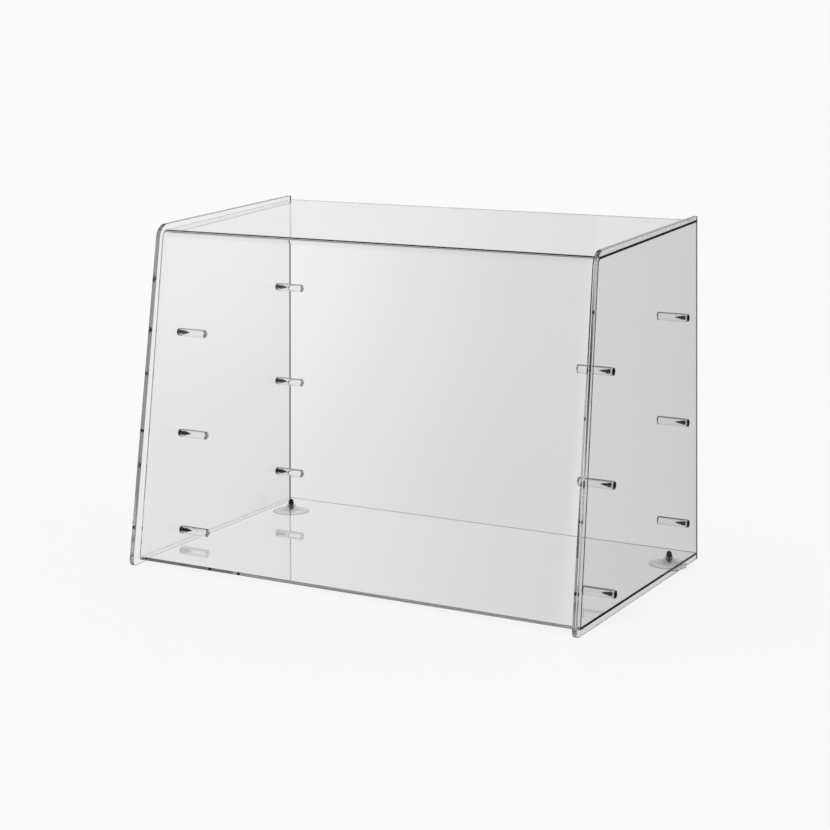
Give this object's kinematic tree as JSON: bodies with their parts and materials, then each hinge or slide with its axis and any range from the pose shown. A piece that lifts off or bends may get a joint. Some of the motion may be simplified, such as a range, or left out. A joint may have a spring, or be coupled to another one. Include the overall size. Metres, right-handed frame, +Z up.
{
  "type": "sneeze guard",
  "caption": "Clear counter-top food guard with a sloped front, open rear, flat base and rows of inward shelf pegs.",
  "frame": {"origin": "middle of the footprint, on the counter", "axes": "+X to the right seen from the customer's side, +Y towards the open rear, +Z up"},
  "size_m": [0.6, 0.3564, 0.4265],
  "materials": {
    "clear_acrylic": "clear cast sheet, polished faces and flame-polished edges",
    "clear_acrylic_rod": "clear polished rod, turned ends",
    "clear_vinyl": "soft clear vinyl, smooth",
    "dark_screw_steel": "black oxide, fine machined",
    "dark_stud_steel": "dark plated, satin"
  },
  "bodies": {
    "root": {"canopy_sheet": "clear_acrylic", "base_sheet": "clear_acrylic", "left_side_panel": "clear_acrylic", "left_peg_screws": "dark_screw_steel", "left_suction_cup": "clear_vinyl", "left_cup_stud": "dark_stud_steel", "left_cap_nut": "dark_stud_steel", "left_lower_front_peg": "clear_acrylic_rod", "left_lower_rear_peg": "clear_acrylic_rod", "left_middle_front_peg": "clear_acrylic_rod", "left_middle_rear_peg": "clear_acrylic_rod", "left_upper_front_peg": "clear_acrylic_rod", "left_upper_rear_peg": "clear_acrylic_rod", "right_side_panel": "clear_acrylic", "right_peg_screws": "dark_screw_steel", "right_suction_cup": "clear_vinyl", "right_cup_stud": "dark_stud_steel", "right_cap_nut": "dark_stud_steel", "right_lower_front_peg": "clear_acrylic_rod", "right_lower_rear_peg": "clear_acrylic_rod", "right_middle_front_peg": "clear_acrylic_rod", "right_middle_rear_peg": "clear_acrylic_rod", "right_upper_front_peg": "clear_acrylic_rod", "right_upper_rear_peg": "clear_acrylic_rod"}
  },
  "joints": []
}
